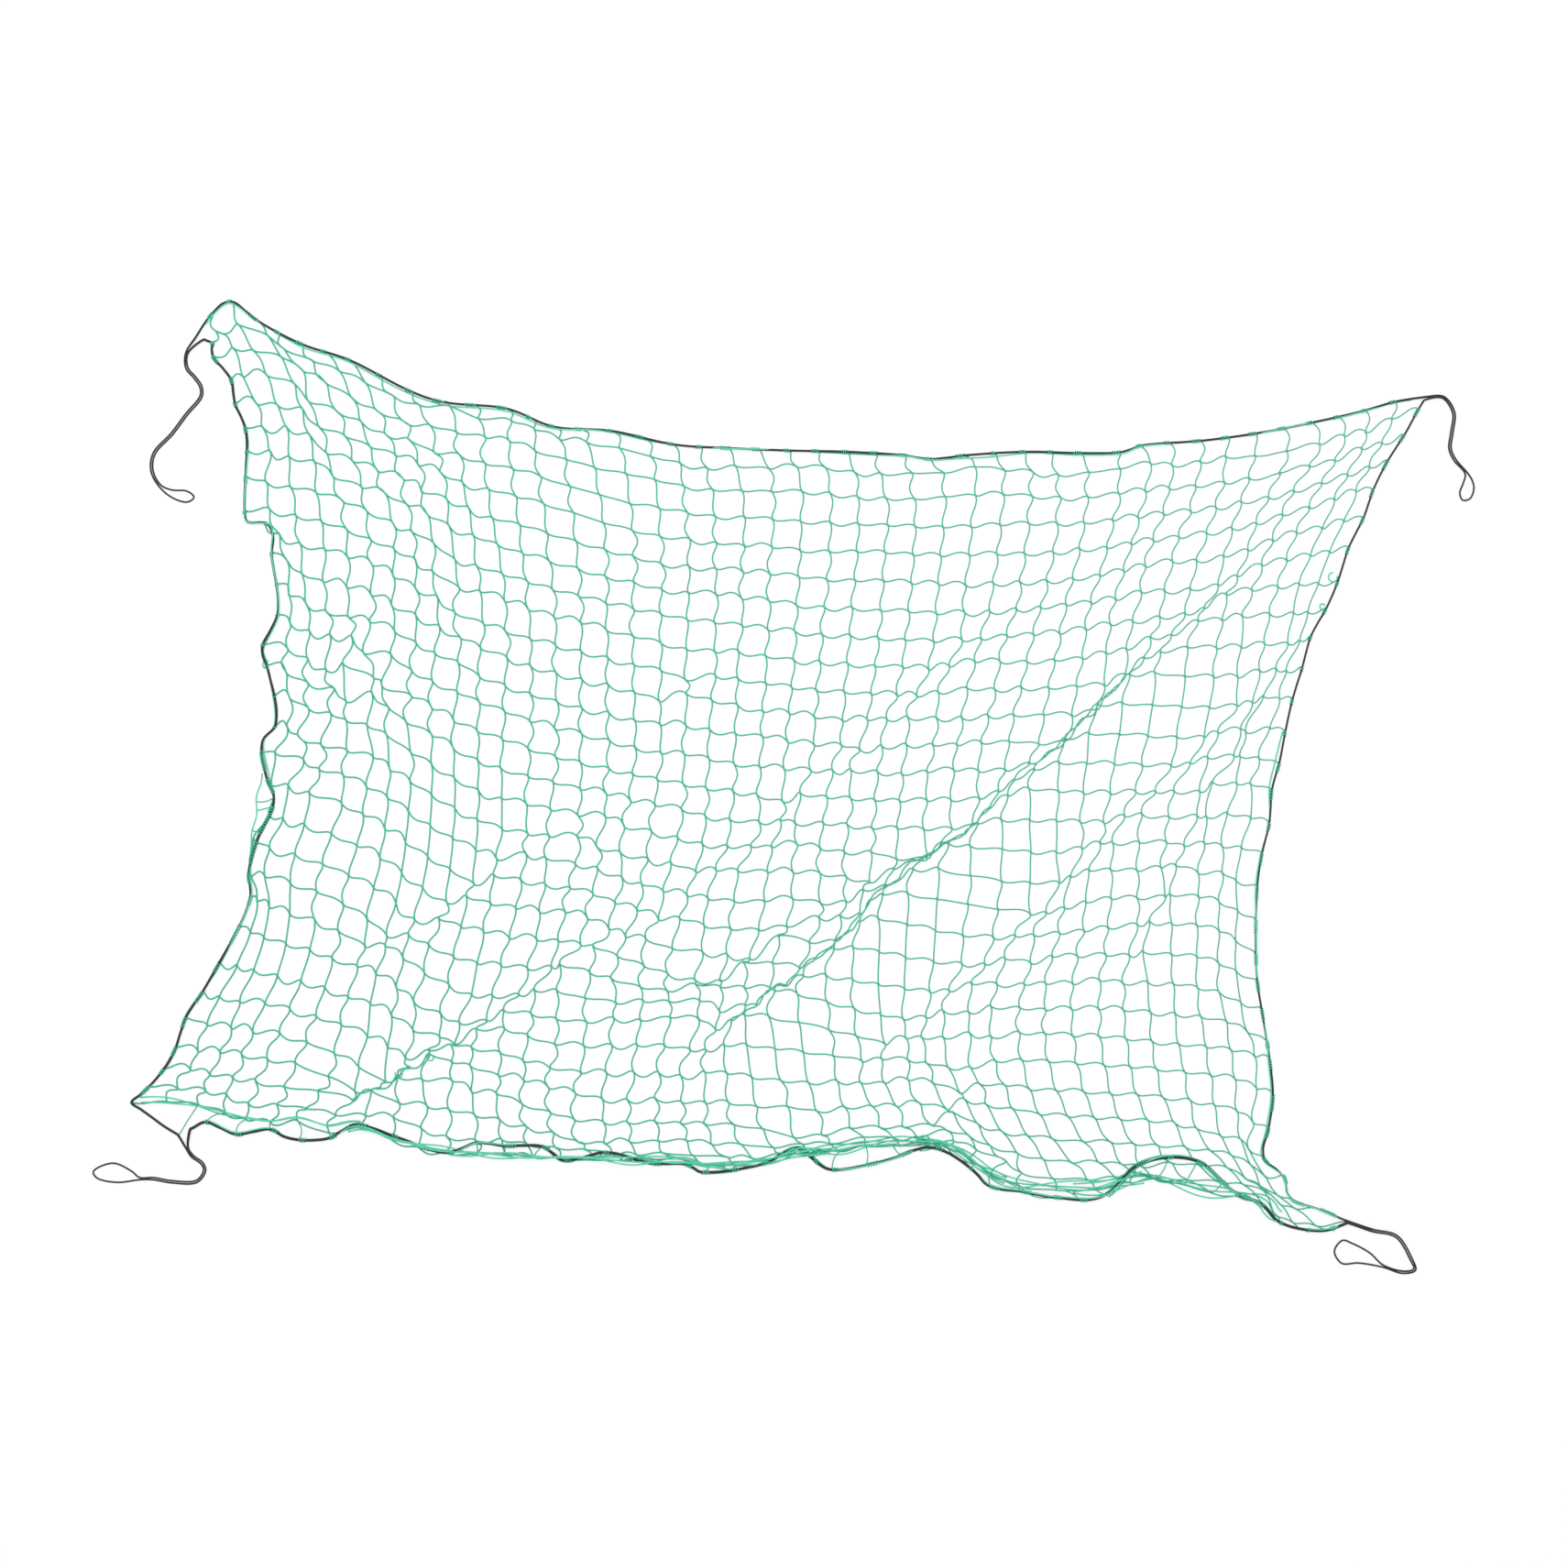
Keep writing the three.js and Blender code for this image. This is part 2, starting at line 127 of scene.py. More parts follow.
def tubeObject(name, paths, radii, sides, material):
    # one mesh of round strands with closed ends; its UV layer holds the length in mm
    # and the turn round the strand
    points, faces, turns = [], [], []
    first = 0
    corner = np.arange(sides)
    angle = fullTurn * corner / sides
    for path, radius in zip(paths, radii):
        path = np.asarray(path, float)
        count = len(path)
        heading = unit(np.gradient(path, axis=0))
        aside = unit(np.cross([0.0, 0.0, 1.0], heading))
        upward = np.cross(heading, aside)
        ring = aside[:, None] * np.cos(angle)[:, None] + upward[:, None] * np.sin(angle)[:, None]
        ring = ring * np.broadcast_to(radius, count)[:, None, None]
        points.append((path[:, None] + ring).reshape(-1, 3))
        travel = lengthAlong(path)
        base = first + sides * np.arange(count - 1)[:, None] + corner
        beside = first + sides * np.arange(count - 1)[:, None] + (corner + 1) % sides
        quads = np.stack([base, beside, beside + sides, base + sides], -1).reshape(-1, 4)
        faces.extend(quads.tolist())
        near = np.broadcast_to(travel[:-1, None], (count - 1, sides))
        far = np.broadcast_to(travel[1:, None], (count - 1, sides))
        here = np.broadcast_to(corner / sides, (count - 1, sides))
        after = here + 1 / sides
        pairs = ((near, here), (near, after), (far, after), (far, here))
        turns.append(np.stack([np.stack(pair, -1) for pair in pairs], 2).reshape(-1, 2))
        faces.append((first + corner[::-1]).tolist())
        faces.append((first + sides * (count - 1) + corner).tolist())
        turns.append(np.stack([np.zeros(sides), corner[::-1] / sides], -1))
        turns.append(np.stack([np.full(sides, travel[-1]), corner / sides], -1))
        first += sides * count
    mesh = bpy.data.meshes.new(name)
    mesh.from_pydata((np.concatenate(points) * mm).tolist(), [], faces)
    layer = mesh.uv_layers.new(name="Twist")
    layer.data.foreach_set("uv", np.concatenate(turns).astype(np.float32).ravel())
    mesh.polygons.foreach_set("use_smooth", np.ones(len(mesh.polygons), bool))
    mesh.materials.append(material)
    mesh.update()
    piece = bpy.data.objects.new(name, mesh)
    bpy.context.scene.collection.objects.link(piece)
    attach(piece, "root")
    return piece


# Materials
def linearColour(code):
    parts = [int(code[k:k + 2], 16) / 255 for k in (1, 3, 5)]
    return (*[c / 12.92 if c <= 0.04045 else ((c + 0.055) / 1.055) ** 2.4 for c in parts], 1)


def addNode(tree, kind, inputs=None, **settings):
    node = tree.nodes.new(kind)
    for name, value in settings.items():
        setattr(node, name, value)
    for socket, value in (inputs or {}).items():
        if isinstance(value, bpy.types.NodeSocket):
            tree.links.new(value, node.inputs[socket])
        else:
            node.inputs[socket].default_value = value
    return node


def freshMaterial(name):
    material = bpy.data.materials.new(name)
    material.use_nodes = True
    material.node_tree.nodes.clear()
    return material, material.node_tree


# Polyethylene twine, three strands laid together: clear emerald green with a soft plastic shine,
# with a painted highlight along each strand's crown and painted shade in the grooves between strands;
# knots and bunches of it use a lighter copy, painted light that offsets the shade between them
twineFinish = {
    # first colours: painted highlight on the strands' crowns; second colours: painted shade in the
    # grooves
    "litCrowns": {"polyethyleneTwine": "#3cc19c", "litCopyPolyethyleneTwine": "#5cdab4"},
    "shadedGrooves": {"polyethyleneTwine": "#219274", "litCopyPolyethyleneTwine": "#38ae8a"},
    "strands": 3, "layMm": 9.0, "crownFrom": -1.0, "crownFull": 0.6, "leastCrown": 0.25,
    "patchMm": 30.0, "patchDetail": 3.0, "patchRange": (0.3, 0.7),
    "ior": 1.51, "roughness": (0.38, 0.56), "bumpMm": 0.18, "bumpStrength": 0.6,
}


def makeTwineFinish(name):
    look = twineFinish
    material, tree = freshMaterial(name)
    spot = addNode(tree, "ShaderNodeUVMap", uv_map="Twist")
    axes = addNode(tree, "ShaderNodeSeparateXYZ", {0: spot.outputs[0]})
    turn = addNode(tree, "ShaderNodeMath", {
        0: axes.outputs[0], 1: 1 / look["layMm"], 2: axes.outputs[1]}, operation="MULTIPLY_ADD")
    swing = addNode(tree, "ShaderNodeMath", {
        0: turn.outputs[0], 1: fullTurn * look["strands"]}, operation="MULTIPLY")
    wave = addNode(tree, "ShaderNodeMath", {0: swing.outputs[0]}, operation="SINE")
    crown = addNode(tree, "ShaderNodeMapRange", {
        0: wave.outputs[0], 1: look["crownFrom"], 2: look["crownFull"]})
    place = addNode(tree, "ShaderNodeTexCoord")
    patch = addNode(tree, "ShaderNodeTexNoise", {
        "Vector": place.outputs["Object"], "Scale": 1 / (look["patchMm"] * mm),
        "Detail": look["patchDetail"]})
    shade = addNode(tree, "ShaderNodeMath", {
        0: crown.outputs[0], 1: patch.outputs[0], 2: look["leastCrown"]}, operation="MULTIPLY_ADD")
    # mixes the painted shade of the grooves with the painted highlight of the crowns, in random patches
    # of tone
    colour = addNode(tree, "ShaderNodeMix", {
        "Factor": shade.outputs[0], 6: linearColour(look["shadedGrooves"][name]),
        7: linearColour(look["litCrowns"][name])}, data_type="RGBA")
    polish = addNode(tree, "ShaderNodeMapRange", {
        0: patch.outputs[0], 1: look["patchRange"][0], 2: look["patchRange"][1],
        3: look["roughness"][0], 4: look["roughness"][1]})
    relief = addNode(tree, "ShaderNodeBump", {
        "Height": wave.outputs[0], "Distance": look["bumpMm"] * mm, "Strength": look["bumpStrength"]})
    shader = addNode(tree, "ShaderNodeBsdfPrincipled", {
        "Base Color": colour.outputs[2], "Roughness": polish.outputs[0], "Normal": relief.outputs[0],
        "IOR": look["ior"]})
    addNode(tree, "ShaderNodeOutputMaterial", {0: shader.outputs[0]})
    return material


# Elastic cord in a braided polyester sleeve: near black with a green cast, matt, with the small
# diamonds of the braid and painted shade in the gaps between its threads; the braid is drawn about
# twice as coarse as the real one so that it shows
cordFinish = {
    # the gap colour is painted shade between the braid's threads
    "thread": "#2e3936", "gap": "#101615", "threadsRound": 6, "braidMm": 5.0,
    "gapBelow": -0.8, "threadAbove": 0.8, "leastThread": 0.1, "patchMm": 45.0, "patchDetail": 4.0,
    "ior": 1.48, "roughness": (0.68, 0.86), "bumpMm": 0.25, "bumpStrength": 0.7, "sheen": 0.15,
}


def makeCordFinish():
    look = cordFinish
    material, tree = freshMaterial("braidedElasticCord")
    spot = addNode(tree, "ShaderNodeUVMap", uv_map="Twist")
    axes = addNode(tree, "ShaderNodeSeparateXYZ", {0: spot.outputs[0]})
    waves = []
    for sense in (1, -1):
        around = addNode(tree, "ShaderNodeMath", {
            0: axes.outputs[1], 1: sense * look["threadsRound"] / 2}, operation="MULTIPLY")
        turn = addNode(tree, "ShaderNodeMath", {
            0: axes.outputs[0], 1: 1 / look["braidMm"], 2: around.outputs[0]}, operation="MULTIPLY_ADD")
        swing = addNode(tree, "ShaderNodeMath", {0: turn.outputs[0], 1: fullTurn}, operation="MULTIPLY")
        waves.append(addNode(tree, "ShaderNodeMath", {0: swing.outputs[0]}, operation="SINE"))
    braid = addNode(tree, "ShaderNodeMath", {
        0: waves[0].outputs[0], 1: waves[1].outputs[0]}, operation="MULTIPLY")
    height = addNode(tree, "ShaderNodeMapRange", {
        0: braid.outputs[0], 1: look["gapBelow"], 2: look["threadAbove"]})
    place = addNode(tree, "ShaderNodeTexCoord")
    patch = addNode(tree, "ShaderNodeTexNoise", {
        "Vector": place.outputs["Object"], "Scale": 1 / (look["patchMm"] * mm),
        "Detail": look["patchDetail"]})
    shade = addNode(tree, "ShaderNodeMath", {
        0: height.outputs[0], 1: patch.outputs[0], 2: look["leastThread"]}, operation="MULTIPLY_ADD")
    # darker towards the low gaps of the braid: painted shade between the threads, in random patches
    colour = addNode(tree, "ShaderNodeMix", {
        "Factor": shade.outputs[0], 6: linearColour(look["gap"]),
        7: linearColour(look["thread"])}, data_type="RGBA")
    polish = addNode(tree, "ShaderNodeMapRange", {
        0: height.outputs[0], 3: look["roughness"][1], 4: look["roughness"][0]})
    relief = addNode(tree, "ShaderNodeBump", {
        "Height": height.outputs[0], "Distance": look["bumpMm"] * mm, "Strength": look["bumpStrength"]})
    shader = addNode(tree, "ShaderNodeBsdfPrincipled", {
        "Base Color": colour.outputs[2], "Roughness": polish.outputs[0], "Normal": relief.outputs[0],
        "IOR": look["ior"], "Sheen Weight": look["sheen"]})
    addNode(tree, "ShaderNodeOutputMaterial", {0: shader.outputs[0]})
    return material


# the second twine material is a lighter copy of the first, painted light for knots and bunched strands
twineMaterial, litCopyTwineMaterial = (makeTwineFinish(name) for name in twineFinish["litCrowns"])
cordMaterial = makeCordFinish()
print("materials made")


# Routes of the edge cord: mesh, x, y. Meshes count from the left along the top and the bottom,
# and from the top down both sides.
topRoute = [
    (0, -956, 698), (1, -927, 740), (2, -896, 760), (3, -855, 730), (5, -780, 690), (7, -700, 663),
    (9, -600, 612), (10, -552, 596), (12, -447, 585), (14, -368, 555), (16, -273, 548), (18, -172, 526),
    (20, -82, 520), (22, 18, 516), (24, 112, 514), (26, 207, 508), (27, 248, 502), (28, 303, 508),
    (30, 402, 514), (32, 495, 512), (33, 558, 513), (34, 592, 524), (36, 690, 532), (38, 780, 544),
    (40, 873, 562), (42, 960, 582), (43, 1008, 596), (44, 1059, 604),
]
rightRoute = [
    (0, 1059, 604), (1, 1046, 584), (2, 1023, 542), (3, 996, 500), (4, 972, 452), (5, 956, 406),
    (6, 932, 358), (7, 914, 302), (8, 894, 256), (9, 870, 213), (10, 856, 162), (11, 840, 110),
    (12, 828, 56), (13, 818, 4), (14, 806, -39), (15, 802, -93), (16, 790, -142), (17, 782, -196),
    (18, 780, -250), (19, 780, -306), (20, 782, -351), (21, 789, -396), (22, 798, -450),
    (23, 802, -478), (24, 808, -537), (25, 801, -591), (26, 792, -639), (27, 825, -670),
    (28, 837, -708), (29, 885, -725), (30, 933, -746),
]
bottomRoute = [
    (0, -1059, -550), (1, -1020, -578), (2, -980, -602), (3, -938, -582), (4, -888, -602),
    (5, -831, -594), (5.6, -804, -608), (7, -735, -608), (8, -692, -586), (9, -633, -604),
    (11, -540, -632), (12, -495, -616), (13, -447, -621), (14, -387, -622), (15, -350, -645),
    (16, -288, -632), (18, -207, -650), (19, -153, -651), (20, -126, -664), (22, -27, -651),
    (23.5, 36, -626), (24, 57, -644), (25, 87, -660), (26.5, 172, -646), (28, 254, -624),
    (29, 312, -656), (30, 345, -687), (31, 400, -696), (32, 450, -705), (34, 536, -700),
    (35, 585, -654), (37, 684, -646), (38.5, 744, -696), (40, 790, -717), (41, 819, -746),
    (42.5, 885, -760), (44, 933, -746),
]
leftRoute = [
    (0, -956, 698), (1, -928, 693), (2, -926, 670), (3, -897, 634), (4, -890, 594), (5, -873, 554),
    (7, -872, 474), (8, -874, 418), (8.6, -868, 399), (9.2, -831, 394), (10, -830, 351),
    (12, -820, 249), (13.2, -846, 192), (14, -838, 166), (16, -824, 66), (16.6, -844, 42),
    (18, -837, -21), (18.8, -825, -56), (20, -854, -123), (21, -867, -174), (22, -864, -213),
    (23, -882, -261), (24, -915, -321), (25, -942, -368), (26, -970, -411), (27, -986, -459),
    (28, -1005, -494), (29, -1030, -524), (30, -1059, -550),
]

# Bottom edge of the net, which lies partly off the cord: mesh, x, y
bottomEdge = [
    (0, -1059, -550), (1, -1002, -549), (2, -950, -554), (3, -905, -568), (4, -872, -578),
    (5, -832, -583), (6, -788, -580), (7, -736, -600), (8, -684, -592), (9, -633, -612),
    (11, -544, -633), (13, -446, -637), (15, -357, -642), (17, -255, -645), (19, -158, -642),
    (20, -112, -652), (22, -15, -648), (23, 27, -633), (25, 102, -628), (26, 142, -621),
    (28, 230, -618), (29, 273, -621), (30, 312, -645), (31, 348, -670), (32, 393, -687),
    (34, 518, -693), (35, 573, -681), (36, 618, -675), (38, 708, -698), (40, 790, -714),
    (41, 812, -735), (43, 879, -752), (44, 933, -746),
]

# Left edge of the net where it hangs out past the cord: mesh, x, y
leftHang = [
    (17.6, -844, -12), (18, -846, -27), (18.5, -854, -49), (19.2, -854, -83), (19.6, -861, -106),
    (20, -862, -128), (20.6, -866, -154),
]

# Edge cords, one for each side, by the stretches of route that each follows
edgeCords = {
    "diameter": 3.1, "height": 3.8, "step": 2.6, "sides": 10, "overlap": 1.2, "pointsPerMesh": 2,
    # the elastic is thicker where it lies slack and thins out over this length into each loop
    "slackDiameter": {"top": 3.9, "right": 3.5, "bottom": 5.0, "left": 4.4}, "thinOver": 70.0,
    # route, then from and to in meshes
    "runs": {
        "top": [(topRoute, 0.12, 43.9)],
        "right": [(rightRoute, 0.5, 29.7)],
        "bottom": [(bottomRoute, 2.5, 43.8)],
        "left": [(leftRoute, 0.6, 30), (bottomRoute, 0.4, 1.85)],
    },
}


def runPoints(name):
    spots = []
    for route, start, end in edgeCords["runs"][name]:
        steps = max(round((end - start) * edgeCords["pointsPerMesh"]), 2)
        spots.append(along(route, np.linspace(start, end, steps + 1)))
    return withHeight(np.concatenate(spots), edgeCords["height"])


def runEnd(name, end):
    # the end of an edge cord and the direction in which it leaves
    points = runPoints(name) if end == "start" else runPoints(name)[::-1]
    return points[0], unit(points[0] - points[1])


# Corner loops: two strands lie side by side down the leg and the eye joins them at its end.
# The right strand, seen going out, carries on from one edge cord and the left leads into the next.
cornerLoops = {
    "pairSpacing": 3.6, "low": 1.8, "gap": 0.3, "step": 2.4,
    # length in metres; x and y down the middle of the leg and round the eye
    "loops": [
        {"name": "top_left", "length": 0.715, "right": ("top", "start"), "left": ("left", "start"),
         "leg": [(-968, 676), (-969, 652), (-956, 636), (-946, 621), (-946, 604), (-969, 576),
                 (-993, 544), (-1022, 512), (-1026, 484), (-1014, 460)],
         "eye": [(-994, 440), (-969, 432), (-957, 440), (-969, 450), (-994, 452)]},
        {"name": "top_right", "length": 0.452, "right": ("right", "start"), "left": ("top", "finish"),
         "leg": [(1086, 603), (1104, 578), (1101, 546), (1098, 520), (1106, 501), (1124, 480)],
         "eye": [(1120, 464), (1114, 447), (1119, 435), (1131, 438), (1137, 454), (1134, 468)]},
        {"name": "bottom_left", "length": 0.565,
         "right": ("left", "finish"), "left": ("bottom", "start"),
         "leg": [(-968, -624), (-960, -638), (-944, -650), (-940, -663), (-954, -680), (-994, -680),
                 (-1024, -675), (-1046, -675)],
         "eye": [(-1059, -663), (-1086, -650), (-1108, -654), (-1122, -664), (-1114, -675),
                 (-1082, -681)]},
        {"name": "bottom_right", "length": 0.614,
         "right": ("bottom", "finish"), "left": ("right", "finish"),
         "leg": [(970, -759), (1011, -770), (1035, -808), (1040, -824), (1020, -828), (988, -818)],
         "eye": [(966, -796), (936, -780), (922, -776), (910, -789), (910, -800), (922, -814),
                 (948, -813)]},
    ],
}


def loopPoints(loop):
    gap = cornerLoops["gap"]
    lead = {}
    for side in ("right", "left"):
        end, outward = runEnd(*loop[side])
        lead[side] = np.stack([end + outward * gap, end + outward * (gap + edgeCords["diameter"])])
    leg = np.array(loop["leg"], float)
    heading = unit(np.concatenate([leg[1:2] - leg[:1], leg[2:] - leg[:-2], leg[-1:] - leg[-2:-1]]))
    offset = -sideways(heading) * cornerLoops["pairSpacing"] / 2
    heights = np.full(len(leg), cornerLoops["low"])
    heights[0] = edgeCords["height"]
    strands = [withHeight(leg + offset * side, heights) for side in (1, -1)]
    eye = withHeight(np.array(loop["eye"], float), cornerLoops["low"])
    return np.concatenate([lead["right"], strands[0], eye, strands[1][::-1], lead["left"][::-1]])


def loopRadius(loop, path):
    # as thick as the two edge cords at its ends
    radius = np.full(len(path), edgeCords["diameter"] / 2)
    travel = lengthAlong(path)
    for side, way in (("right", travel), ("left", travel[-1] - travel)):
        swell = edgeCords["slackDiameter"][loop[side][0]] - edgeCords["diameter"]
        radius += swell / 2 * easeIn(1 - way / edgeCords["thinOver"])
    return radius


for loop in cornerLoops["loops"]:
    path = evenPath(loopPoints(loop), cornerLoops["step"])
    radius = loopRadius(loop, path)
    path[:, 2] = np.maximum(path[:, 2], radius + floorGap)
    piece = tubeObject("cornerLoop_" + loop["name"], [path], [radius], edgeCords["sides"], cordMaterial)
    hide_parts("corner_loop_" + loop["name"])
    print("corner loop", loop["name"], round(lengthAlong(path)[-1]), "mm")

for name in edgeCords["runs"]:
    points = evenPath(runPoints(name), edgeCords["step"])
    points[0] += unit(points[0] - points[1]) * edgeCords["overlap"]
    points[-1] += unit(points[-1] - points[-2]) * edgeCords["overlap"]
    radius = edgeCords["slackDiameter"][name] / 2
    piece = tubeObject("edgeCord_" + name, [points], [radius], edgeCords["sides"], cordMaterial)
    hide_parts("edge_cord_" + name)
print("edge cords laid")


# Lie of the net: knots listed where it turns, as mesh across, mesh down, x and y in mm;
# a smooth sheet through these and the edges gives the knots between
netLie = {
    "meshesAcross": 44, "meshesDown": 30,
    # a mesh drawn to less than this share of its area lies higher, by up to this many mm
    "openShare": 0.5, "foldLift": 5.0,
    "evenColumns": [4, 10, 16, 22, 28, 34, 40],
    # mesh down, then x and y at each of those columns
    "evenRows": {
        3: [(-768, 598), (-525, 506), (-244, 430), (36, 400), (315, 392), (588, 406), (842, 450)],
        8: [(-706, 387), (-488, 282), (-238, 212), (22, 176), (282, 164), (536, 183), (760, 244)],
        13: [(-710, 162), (-494, 58), (-238, -12), (8, -52), (240, -57), (458, 6), (702, 10)],
        18: [(-718, -62), (-500, -189), (-270, -220), (-32, -268), (171, -206), (441, -237),
             (646, -214)],
        23: [(-768, -300), (-554, -405), (-316, -418), (-78, -420), (170, -453), (390, -436),
             (654, -453)],
        27: [(-837, -478), (-574, -504), (-333, -576), (-74, -590), (204, -584), (448, -609),
             (706, -627)],
    },
    # the feet of each fold, the edges and the drawn-in sides
    "forms": {
        "mainFold": [
            (37, 6, 674, 290), (39, 8, 722, 237), (35, 8, 572, 196), (37, 10, 614, 153),
            (31, 12, 372, -6), (33, 14, 411, -39), (27, 16, 186, -172), (29, 18, 210, -206),
            (23, 20, -12, -322), (25, 22, 30, -372), (20, 23, -135, -420), (22, 25, -87, -500)],
        "middleFold": [
            (23, 18, 18, -260), (24, 20, 34, -332), (20, 20, -135, -346), (21, 22, -92, -396),
            (17, 21, -273, -351), (18, 23, -225, -412)],
        "lowerLeftFold": [
            (14, 20, -358, -288), (15, 22, -362, -368), (11, 22, -506, -374), (12, 25, -500, -456),
            (8, 24, -633, -406), (9, 27, -620, -508)],
        "rightFold": [
            (38, 13, 640, 0), (39, 15, 639, -81), (35, 15, 495, -90), (37, 17, 543, -170),
            (30, 20, 252, -320), (32, 22, 309, -398), (27, 23, 128, -442), (28, 25, 177, -512)],
        "leftPuckers": [
            (2, 11, -778, 267), (2, 14, -768, 135), (6, 14, -640, 93), (2, 17, -789, 15),
            (1, 20, -860, -126), (2, 25, -880, -384)],
        "topEdge": [
            (4, 1, -804, 684), (10, 1, -540, 586), (13, 1, -402, 550), (16, 1, -261, 522),
            (22, 1, 33, 492), (28, 1, 322, 486), (34, 1, 604, 492), (40, 1, 882, 528),
            (4, 2, -780, 646), (7, 2, -658, 584), (10, 2, -526, 546)],
        "topLeftSlack": [
            (1, 1, -918, 712), (2, 3, -836, 638), (3, 2, -812, 668), (3, 5, -771, 542),
            (4, 5, -740, 512), (7, 1, -676, 626), (7, 5, -618, 471)],
        "rightSide": [
            (43, 1, 1008, 567), (42, 4, 908, 436), (42, 9, 831, 206), (42, 14, 744, -30),
            (42, 19, 716, -270), (42, 24, 747, -514)],
        "aboveBunch": [
            (7, 28, -700, -543), (13, 28, -460, -576), (19, 28, -202, -616), (25, 28, 90, -616),
            (31, 28, 345, -618), (36, 28, 568, -650), (41, 28, 770, -676)],
        "bottomBunch": [
            (4, 29, -870, -552), (8, 29, -678, -566), (12, 29, -498, -612), (16, 29, -318, -633),
            (20, 29, -140, -636), (24, 29, 48, -632), (28, 29, 248, -612), (31, 29, 364, -648),
            (34, 29, 507, -678), (37, 29, 620, -672), (41, 29, 789, -696)],
    },
    # folds: from across and down, to across and down, how far the upper left side is drawn over
    # in x and y, then in meshes half the width of the fold and the length over which its ends fade
    "folds": {
        "main": (41.0, 4.0, 19.4, 25.6, 48, -53, 1.3, 7),
        "longTop": (31.0, 5.0, 17.5, 18.5, 19, -12, 0.2, 4),
        "longMiddle": (19.0, 17.5, 12.3, 22.7, 16, -14, 0.2, 2),
        "longFoot": (13.5, 22.2, 6.8, 28.9, 6, -36, 0.3, 1.5),
        "longFootInner": (10.5, 24.0, 6.2, 28.3, 4, -28, 0.2, 1.5),
        "middle": (29.8, 13.9, 17.3, 22.8, 9, -31, 0.3, 3),
        "right": (42.5, 9.5, 31.5, 20.5, 26, -10, 0.2, 3),
        "rightFoot": (32.8, 19.2, 26.5, 25.5, 14, -20, 0.2, 2),
        "rightEdge": (42.3, 10.5, 37.5, 22.0, 26, 0, 0.2, 3),
        "left": (13.2, 15.3, 5.2, 23.3, 4, -26, 0.2, 2),
        "leftPucker": (3.6, 11.0, 4.0, 16.3, 20, 0, 0.2, 1.5),
        "topLeft": (3.5, 0.3, 3.5, 7.2, 16, 12, 0.2, 1.5),
        "lowerRight": (33.0, 24.0, 28.3, 28.2, 6, -26, 0.2, 1.5),
        "upperPucker": (20.2, 8.0, 16.5, 10.9, 0, -16, 0.2, 1),
        "lowerPucker": (26.7, 26.7, 23.0, 28.0, 0, -20, 0.2, 1),
    },
    "foldReach": 3.0,  # meshes beside a fold over which its pull fades
    # tangled places: mesh across, mesh down, radius in meshes, how far the knots lie astray in mm
    "tangles": [
        (4.5, 13.8, 2.4, 8), (2.8, 16.4, 1.8, 7), (9.0, 8.0, 1.4, 6), (9.6, 26.4, 2.6, 6),
        (8.4, 22.4, 1.6, 5), (20.8, 19.8, 1.6, 5), (27.0, 17.0, 2.0, 4), (24.8, 27.2, 1.8, 5),
        (29.5, 25.5, 2.0, 4),
    ],
    "tangleFade": 1.5,  # a tangle ends at this many times its radius
}
acrossEnd, downEnd = netLie["meshesAcross"], netLie["meshesDown"]


def foldShift(places):
    # how far the folds draw each place of the net towards themselves
    shift = np.zeros(places.shape)
    for fold in netLie["folds"].values():
        fromAcross, fromDown, toAcross, toDown, drawX, drawY, halfWidth, taper = fold
        run = np.array([toAcross - fromAcross, toDown - fromDown])
        length = np.hypot(*run)
        run = run / length
        offset = places - np.array([fromAcross, fromDown])
        travel = offset @ run
        aside = offset @ np.array([run[1], -run[0]])
        ends = easeIn(np.minimum(travel, length - travel) / taper)
        side = np.clip(aside / halfWidth, -1, 1)
        beyond = np.maximum(np.abs(aside) - halfWidth, 0)
        draw = (1.5 * side - 0.5 * side ** 3) * np.exp(-beyond / netLie["foldReach"])
        shift -= (ends * draw)[:, None] * np.array([drawX, drawY]) / 2
    return shift


def pickedKnots():
    # places in meshes and their spots on the floor, inside and round the edge
    inside = [(column, row, *spot) for row, spots in netLie["evenRows"].items()
              for column, spot in zip(netLie["evenColumns"], spots)]
    for form in netLie["forms"].values():
        inside += form
    inside = np.array(inside, float)
    across, down = np.arange(acrossEnd + 1.0), np.arange(1.0, downEnd)
    places = [inside[:, :2]]
    spots = [inside[:, 2:], along(topRoute, across), along(bottomEdge, across)]
    spots += [along(leftRoute, down), along(rightRoute, down)]
    for fixed in (0, downEnd):
        places.append(np.stack([across, np.full_like(across, fixed)], -1))
    for fixed in (0, acrossEnd):
        places.append(np.stack([np.full_like(down, fixed), down], -1))
    return np.concatenate(places), np.concatenate(spots)


def bentSheet(places, spots, at):
    # the smoothest sheet through all spots, as a thin plate bends
    def terms(here):
        apart = ((here[:, None] - places) ** 2).sum(-1)
        return np.column_stack([apart * np.log(apart + tiny), np.ones(len(here)), here])

    count = len(places)
    system = np.zeros((count + 3, count + 3))
    system[:count] = terms(places)
    system[count:, :count] = system[:count, count:].T
    weights = np.linalg.solve(system, np.concatenate([spots, np.zeros((3, 2))]))
    return terms(at) @ weights


